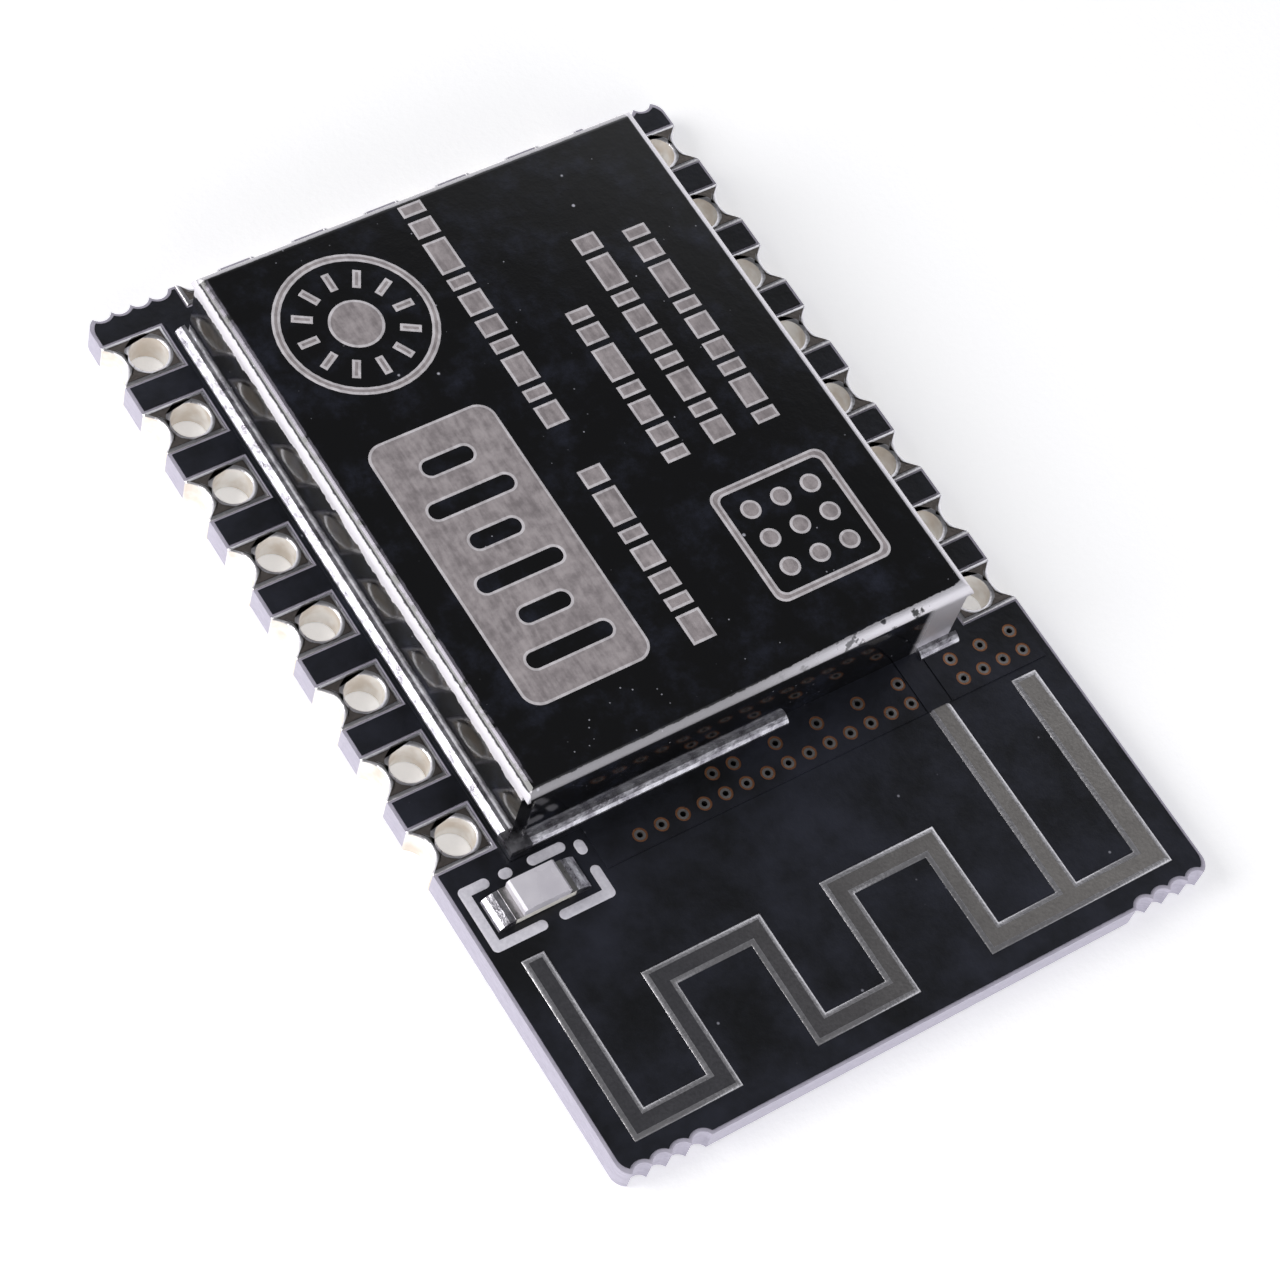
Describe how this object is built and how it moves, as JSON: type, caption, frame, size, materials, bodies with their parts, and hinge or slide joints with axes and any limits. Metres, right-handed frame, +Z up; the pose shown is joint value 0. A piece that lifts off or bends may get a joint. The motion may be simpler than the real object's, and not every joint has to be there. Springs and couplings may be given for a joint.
{
  "type": "wifi module",
  "caption": "Surface-mount radio module: a thin castellated board with a printed meander antenna, a status light and a soldered black shield can.",
  "frame": {"origin": "middle of the board's outline, on the underside of its pads", "axes": "+Y along the board, from the antenna's end to the rear pads; +Z up out of the shield; +X to the right with the antenna nearest"},
  "size_m": [0.016, 0.024, 0.003],
  "materials": {
    "laminate": "cut glass and epoxy laminate, pale lavender grey, slightly rough",
    "solder_mask": "black satin lacquer with fine orange peel",
    "pad_finish": "dull tarnished tin finish over copper, lighter along the edges",
    "track_finish": "dull grey finish over copper, bright rounded edges",
    "bare_copper": "copper under the lacquer",
    "via_plating": "plated barrel with a speck of solder",
    "tinned_copper": "tinned copper",
    "shield_sheet": "glossy black coating over steel, bright along the bends",
    "shield_marks": "matt grey marks with paler rims",
    "solder": "bright uneven solder with ridges and pits",
    "led_ceramic": "white ceramic",
    "led_resin": "milky resin",
    "terminal_tin": "tin plate",
    "white_ink": "white print",
    "moulding": "black moulding compound",
    "crystal_ceramic": "tan ceramic",
    "crystal_metal": "plated metal lid",
    "capacitor_ceramic": "tan ceramic",
    "resistor_glaze": "black glaze on ceramic",
    "coil_ceramic": "blue-green ceramic"
  },
  "bodies": {
    "root": {"board_laminate": "laminate", "solder_mask_top": "solder_mask", "solder_mask_bottom": "solder_mask", "pads_left": "pad_finish", "pads_right": "pad_finish", "pads_rear": "pad_finish", "antenna_trace": "track_finish", "ground_copper": "bare_copper", "ground_vias": "via_plating", "component_lands": "tinned_copper", "shield_can": "shield_sheet", "shield_print": "shield_marks", "shield_solder_bead": "solder", "shield_solder_dabs": "solder", "led_base": "led_ceramic", "led_lens": "led_resin", "led_terminals": "terminal_tin", "led_solder": "solder", "led_frame_print": "white_ink", "radio_chip": "moulding", "radio_chip_leads": "tinned_copper", "memory_chip": "moulding", "memory_chip_leads": "tinned_copper", "crystal_base": "crystal_ceramic", "crystal_cap": "crystal_metal", "capacitor_bodies": "capacitor_ceramic", "capacitor_ends": "terminal_tin", "resistor_bodies": "resistor_glaze", "resistor_ends": "terminal_tin", "coil_bodies": "coil_ceramic", "coil_ends": "terminal_tin"}
  },
  "joints": []
}
